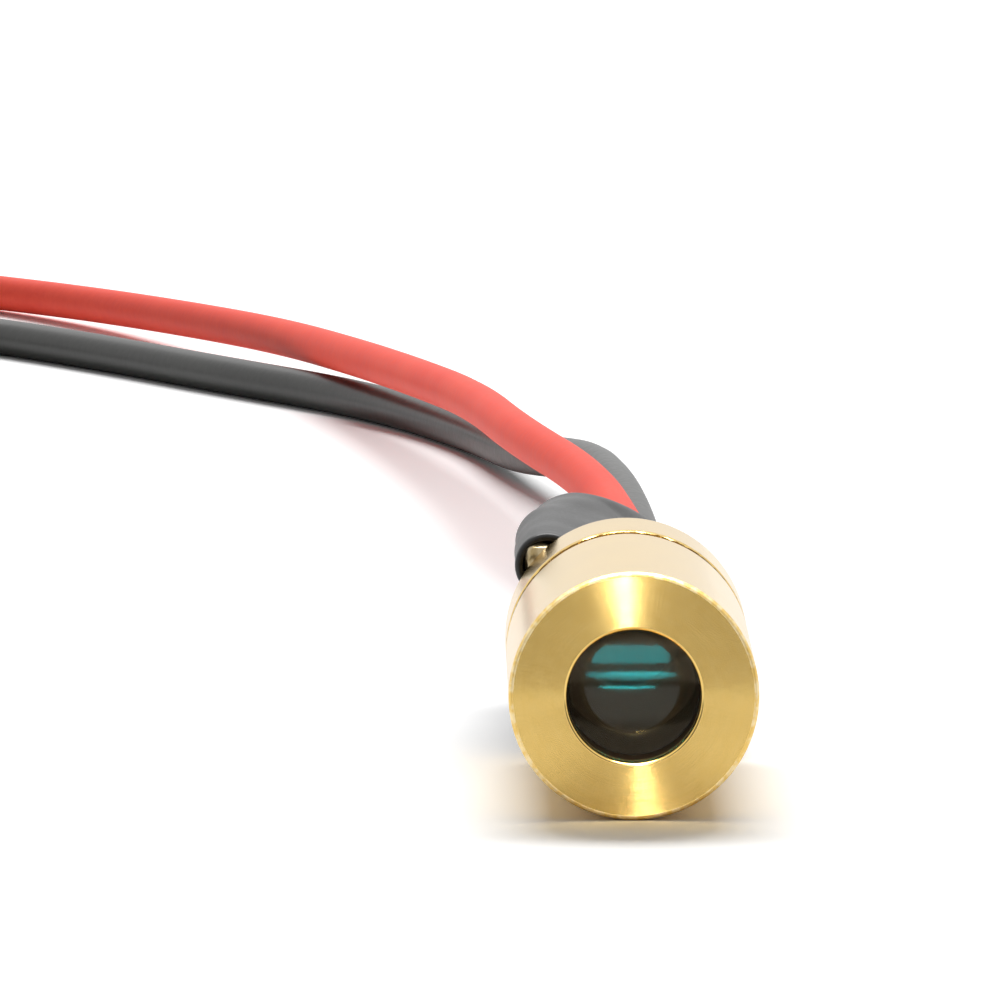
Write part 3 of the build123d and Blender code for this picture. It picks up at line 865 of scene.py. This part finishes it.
# %% Glass
LENS_TINT = colour(0.72, 0.74, 0.66)
LENS_CLEAR = colour(0.90, 0.75, 0.60)
LENS_DUSTY = colour(0.70, 0.60, 0.48)
DUST_SIZE = 0.05 * MM
DUST_DETAIL = 1.0
DUST_RANGE = (0.72, 0.85)

lens_glass = Finish("coated_glass")
lens_dust = lens_glass.between(lens_glass.noise(DUST_SIZE, DUST_DETAIL), *DUST_RANGE)
lens_glass.surface(
    {
        "Base Color": lens_glass.mix(lens_dust, LENS_CLEAR, LENS_DUSTY),
        "Roughness": 0.08 + 0.10 * lens_dust,
        "IOR": 1.5,
        "Transmission Weight": 1.0,
        "Specular Tint": LENS_TINT,
    }
)
lens_glass.put_on(lens)

window_glass = Finish("window_glass")
window_glass.surface(
    {
        "Base Color": window_glass.mix(
            window_glass.noise(0.4 * MM), colour(0.92, 0.95, 0.96), colour(0.80, 0.86, 0.88)
        ),
        "Roughness": 0.01 + 0.03 * window_glass.noise(0.1 * MM),
        "Transmission Weight": 1.0,
    }
)
window_glass.put_on(nodes["diode_window"])

seal_glass = Finish("seal_glass")
seal_glass.surface(
    {
        "Base Color": seal_glass.mix(
            seal_glass.noise(0.15 * MM), colour(0.03, 0.05, 0.06), colour(0.10, 0.14, 0.15)
        ),
        "Roughness": 0.10 + 0.15 * seal_glass.noise(0.08 * MM),
    }
)
seal_glass.put_on(nodes["pin_seals"])

# %% [markdown]
# Inside are plated and plain metals. They differ in colour and in how coarse their surface is, so one
# recipe makes them all: a metal with soft stains, fine grain and a slightly uneven gloss.

# %% Inner metals
STAIN_RANGE = (0.35, 0.65)
STAIN_DETAIL = 3.0
GRAIN_DEPTH = 0.1
UNEVEN_GLOSS = 0.15


def metal_finish(name, light, dark, roughness, grain, stain=0.8 * MM):
    """A metal with stains between two colours and a fine grain."""
    metal = Finish(name)
    stains = metal.noise(stain, STAIN_DETAIL)
    fine = metal.noise(grain)
    metal.surface(
        {
            "Base Color": metal.mix(metal.between(stains, *STAIN_RANGE), dark, light),
            "Metallic": 1.0,
            "Roughness": roughness + UNEVEN_GLOSS * fine,
        },
        height=fine,
        distance=GRAIN_DEPTH * grain,
    )
    return metal


spring_steel = metal_finish(
    "spring_steel", colour(0.42, 0.41, 0.40), colour(0.26, 0.25, 0.24), 0.22, 0.04 * MM
)
spring_steel.put_on(nodes["lens_spring"])
gold_plate = metal_finish(
    "plated_steel", colour(0.80, 0.58, 0.26), colour(0.62, 0.43, 0.17), 0.18, 0.05 * MM
)
gold_plate.put_on(*[nodes[name] for name in ("diode_stem", "anode_pin", "monitor_pin", "case_pin")])
# The diode can is darkened far below bright nickel, as painted shade for the dark inside the barrel.
painted_shade_nickel = metal_finish("nickel_can", colour(0.13, 0.095, 0.065), colour(0.08, 0.058, 0.04), 0.30, 0.06 * MM)
painted_shade_nickel.put_on(nodes["diode_can"])
copper = metal_finish("copper_post", colour(0.72, 0.36, 0.22), colour(0.52, 0.24, 0.14), 0.25, 0.05 * MM)
copper.put_on(nodes["heat_sink_post"])
solder = metal_finish(
    "solder", colour(0.60, 0.51, 0.34), colour(0.32, 0.23, 0.10), 0.24, 0.12 * MM, 0.4 * MM
)
solder.put_on(mouth_solder, nodes["pin_solder"], nodes["wire_solder"])
tin = metal_finish("tinned_copper", colour(0.66, 0.65, 0.62), colour(0.48, 0.46, 0.42), 0.20, 0.05 * MM)
tin.put_on(red_end, black_end, nodes["red_conductor"], nodes["black_conductor"])
tin.put_on(nodes["transistor_leads"], nodes["chip_terminals"])

# %% [markdown]
# The driver board is green laminate with small moulded parts. They sit in the dark under the sleeve, but
# each keeps its own grain, since the part can be opened or cut away.

# %% Board and small parts
BROAD_GRAIN = 12
MOULD_DETAIL = 3.0


def moulded_finish(name, light, dark, roughness, grain, depth=0.002 * MM, shine=0.5):
    """A plastic or ceramic with a fine moulded grain."""
    moulded = Finish(name)
    fine = moulded.noise(grain, MOULD_DETAIL)
    broad = moulded.noise(BROAD_GRAIN * grain)
    moulded.surface(
        {
            "Base Color": moulded.mix(moulded.between(0.5 * fine + 0.5 * broad, *STAIN_RANGE), dark, light),
            "Roughness": roughness + UNEVEN_GLOSS * fine,
            "Specular IOR Level": shine,
        },
        height=fine,
        distance=depth,
    )
    return moulded


board_green = moulded_finish(
    "board_green", colour(0.03, 0.16, 0.06), colour(0.015, 0.09, 0.03), 0.30, 0.15 * MM
)
board_green.put_on(nodes["driver_board"])
transistor_black = moulded_finish(
    "transistor_black", colour(0.035, 0.035, 0.036), colour(0.018, 0.018, 0.02), 0.5, 0.04 * MM
)
transistor_black.put_on(nodes["driver_transistor"])
resistor_black = moulded_finish(
    "resistor_black", colour(0.03, 0.03, 0.032), colour(0.015, 0.015, 0.016), 0.3, 0.06 * MM
)
resistor_black.put_on(nodes["current_resistor"])
capacitor_tan = moulded_finish(
    "capacitor_tan", colour(0.42, 0.30, 0.19), colour(0.33, 0.22, 0.13), 0.4, 0.05 * MM
)
capacitor_tan.put_on(nodes["filter_capacitor"])
dark_silicon = moulded_finish(
    "dark_silicon", colour(0.10, 0.10, 0.12), colour(0.05, 0.05, 0.065), 0.12, 0.03 * MM
)
dark_silicon.put_on(nodes["laser_chip"], nodes["monitor_photodiode"])

# %% [markdown]
# Shrink tube is black and satin, with a slight orange-peel skin. The leads have softer, glossier
# plastic, with faint lengthwise marks from the die that it was drawn through.

# %% Plastics
SLEEVE_LIGHT = colour(0.022, 0.022, 0.021)
SLEEVE_DARK = colour(0.012, 0.012, 0.012)
sleeve_black = moulded_finish("sleeve_black", SLEEVE_LIGHT, SLEEVE_DARK, 0.34, 0.10 * MM, 0.004 * MM, 0.4)
sleeve_black.put_on(sleeve)
RED_LIGHT = colour(0.92, 0.088, 0.048)
RED_DARK = colour(0.86, 0.064, 0.036)
red_plastic = moulded_finish("red_insulation", RED_LIGHT, RED_DARK, 0.42, 0.25 * MM, 0.006 * MM, 0.14)
red_plastic.put_on(red_lead)
BLACK_LIGHT = colour(0.034, 0.034, 0.030)
BLACK_DARK = colour(0.020, 0.020, 0.018)
black_plastic = moulded_finish("black_insulation", BLACK_LIGHT, BLACK_DARK, 0.30, 0.25 * MM, 0.006 * MM)
black_plastic.put_on(black_lead)

# %% [markdown]
# The module lies on a plain white table. A photographer would light the table until it goes white, but
# that would burn out the brass. So the table takes its light like paper, and only its colour is raised
# where the camera, the metal or the glass looks at it. It still takes the shadow.

# %% White table
FLOOR_SIZE = 6.0
FLOOR_SHOWN = 1.12
FLOOR_MIRRORED = 1.0
PAPER_DULL = colour(0.90, 0.90, 0.90)
PAPER_PALE = colour(0.92, 0.92, 0.915)
SPECKLE_SIZE = 3 * MM
SHOWN_RAYS = ("Is Camera Ray", "Is Glossy Ray", "Is Transmission Ray")

bpy.ops.object.select_all(action="DESELECT")
bpy.ops.mesh.primitive_plane_add(size=FLOOR_SIZE)
floor = bpy.context.object
floor.name = "table"
table_white = Finish("table_white")
speckle = table_white.noise(SPECKLE_SIZE)
seen, mirrored, passed = [table_white.node("ShaderNodeLightPath", output=kind) for kind in SHOWN_RAYS]
paper = table_white.mix(speckle, PAPER_DULL, PAPER_PALE)
in_mirrors = table_white.mix(
    mirrored + passed, paper, colour(FLOOR_MIRRORED, FLOOR_MIRRORED, FLOOR_MIRRORED)
)
table_white.surface(
    {
        "Base Color": table_white.mix(seen, in_mirrors, colour(FLOOR_SHOWN, FLOOR_SHOWN, FLOOR_SHOWN)),
        "Roughness": 0.9,
        "Specular IOR Level": 0.0,
    }
)
table_white.put_on(floor)
floor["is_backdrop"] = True

# %% [markdown]
# The room is white to the camera, the metal and the glass. What it gives to plain surfaces grows from
# the front to the back, as a window behind the table would, so the shadow falls towards the camera.

# %% Pale room
ROOM_FRONT = 0.06
ROOM_BACK = 0.62
ROOM_SLOPE = 0.7

room = bpy.data.worlds.new("room")
room.use_nodes = True
bpy.context.scene.world = room
room_tree = room.node_tree
background = room_tree.nodes["Background"]
background.inputs["Color"].default_value = colour(1.0, 1.0, 1.0)
ray = room_tree.nodes.new("ShaderNodeLightPath")
shown = ray.outputs[SHOWN_RAYS[0]]
for kind in SHOWN_RAYS[1:]:
    either = room_tree.nodes.new("ShaderNodeMath")
    either.operation = "MAXIMUM"
    room_tree.links.new(shown, either.inputs[0])
    room_tree.links.new(ray.outputs[kind], either.inputs[1])
    shown = either.outputs[0]
direction = room_tree.nodes.new("ShaderNodeTexCoord")
split = room_tree.nodes.new("ShaderNodeSeparateXYZ")
room_tree.links.new(direction.outputs["Generated"], split.inputs["Vector"])
slope = room_tree.nodes.new("ShaderNodeMapRange")
slope.inputs["From Min"].default_value = -ROOM_SLOPE
slope.inputs["From Max"].default_value = ROOM_SLOPE
slope.inputs["To Min"].default_value = ROOM_FRONT
slope.inputs["To Max"].default_value = ROOM_BACK
room_tree.links.new(split.outputs["Y"], slope.inputs["Value"])
level = room_tree.nodes.new("ShaderNodeMapRange")
level.inputs["To Max"].default_value = 1.0
room_tree.links.new(slope.outputs["Result"], level.inputs["To Min"])
room_tree.links.new(shown, level.inputs["Value"])
room_tree.links.new(level.outputs["Result"], background.inputs["Strength"])
print("room gives", ROOM_FRONT, "in front and", ROOM_BACK, "behind")

# %% [markdown]
# One wide soft lamp far above and behind is the key light. The lens and the turned face also need
# something to mirror, so slim lamps stand in front of them, and light linking shows each lamp to that
# one piece alone: three blue-green bands and a brighter core for the lens, an upright strip for the
# streak on the face, a low fill, and a lamp overhead for the edges.

# %% Lamps
WHITE = (1.0, 1.0, 1.0)
BLUE_GREEN = (0.03, 0.86, 1.0)


def soft_light(
    name, elevation, azimuth, distance, spread, radiance, seen_by=None, shade=WHITE, shape="RECTANGLE"
):
    """An area light placed round the front face by angles, as wide and high as its spread in degrees."""
    rise = math.radians(elevation)
    swing = math.radians(azimuth)
    away = Vector(
        (math.sin(swing) * math.cos(rise), -math.cos(swing) * math.cos(rise), math.sin(rise))
    )
    width, height = [2 * distance * math.tan(math.radians(angle) / 2) for angle in spread]
    bpy.ops.object.select_all(action="DESELECT")
    bpy.ops.object.light_add(type="AREA", location=face_centre + away * distance)
    light = bpy.context.object
    light.name = name
    light.data.shape = shape
    light.data.size = width
    light.data.size_y = height
    light.data.color = shade
    light.data.energy = radiance * math.pi * width * height
    light.rotation_euler = (-away).to_track_quat("-Z", "Y").to_euler()
    light.visible_camera = False
    if seen_by:
        light.visible_transmission = False
        group = bpy.data.collections.new(name + "_receivers")
        for piece in seen_by:
            group.objects.link(piece)
        light.light_linking.receiver_collection = group
    print(name, "measures", round(width, 3), "by", round(height, 3), "m")


# name, degrees up, degrees round, metres away, spread in degrees, radiance, lit pieces, colour, shape
soft_light("key", 57, 178, 6.0, (44, 14), 16.0)
soft_light("lens_panel", 8.9, 0, 0.050, (38, 9), 6.3, [lens], BLUE_GREEN)
soft_light("lens_band", -1.4, 0, 0.030, (47, 4.2), 6.0, [lens], BLUE_GREEN, "ELLIPSE")
soft_light("lens_glow", -0.5, 3, 0.028, (34, 1.4), 9.0, [lens], BLUE_GREEN, "ELLIPSE")
soft_light("lens_line", -8.2, -3, 0.006, (44, 1.6), 18.0, [lens], BLUE_GREEN, "ELLIPSE")
soft_light("face_strip", 16, -1.1, 0.045, (2.2, 14), 56.0, [front_cap])
soft_light("face_fill", -33, 0, 0.004, (110, 16), 0.08, [front_cap])
soft_light("edge_light", 78, 0, 0.300, (40, 40), 15.0, [front_cap])

# %% [markdown]
# A dim card lies on the table in front of the module and turns up at its far edge. The camera can't see
# it, and it casts no shadow. Without it the brass and the lens would mirror only white, and would lose
# their depth.

# %% Dim card
CARD_GREY = colour(0.22, 0.21, 0.20)
CARD_DARK = colour(0.20, 0.19, 0.18)
CARD_START = FRONT - 20.5 * MM
CARD_END = FRONT - 75 * MM
CARD_WIDTH = 220 * MM
CARD_HEIGHT = 42 * MM
CARD_LIFT = 0.2 * MM

bpy.ops.object.select_all(action="DESELECT")
bpy.ops.mesh.primitive_plane_add(size=1)
card = bpy.context.object
card.name = "dim_card"
bpy.ops.object.mode_set(mode="EDIT")
bpy.ops.mesh.select_all(action="SELECT")
bpy.ops.transform.resize(value=(CARD_WIDTH, CARD_START - CARD_END, 1), center_override=(0, 0, 0))
bpy.ops.transform.translate(value=(0, (CARD_START + CARD_END) / 2, CARD_LIFT))
bpy.ops.mesh.select_all(action="DESELECT")
bpy.ops.object.mode_set(mode="OBJECT")
for vertex in card.data.vertices:
    vertex.select = vertex.co.y < (CARD_START + CARD_END) / 2
for edge in card.data.edges:
    edge.select = all(card.data.vertices[index].select for index in edge.vertices)
bpy.ops.object.mode_set(mode="EDIT")
bpy.ops.mesh.extrude_region_move(TRANSFORM_OT_translate={"value": (0, 0, CARD_HEIGHT)})
bpy.ops.object.mode_set(mode="OBJECT")
card_grey = Finish("card_grey")
card_grey.surface(
    {
        "Base Color": card_grey.mix(card_grey.noise(4 * MM), CARD_GREY, CARD_DARK),
        "Roughness": 0.9,
        "Specular IOR Level": 0.0,
    }
)
card_grey.put_on(card)
card.visible_camera = False
card.visible_diffuse = False
card.visible_shadow = False
card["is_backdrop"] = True

# %% [markdown]
# Last, the box of the finished model is printed.

low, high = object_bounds()
print("visual box", [round(value / MM, 2) for value in (*low, *high)])
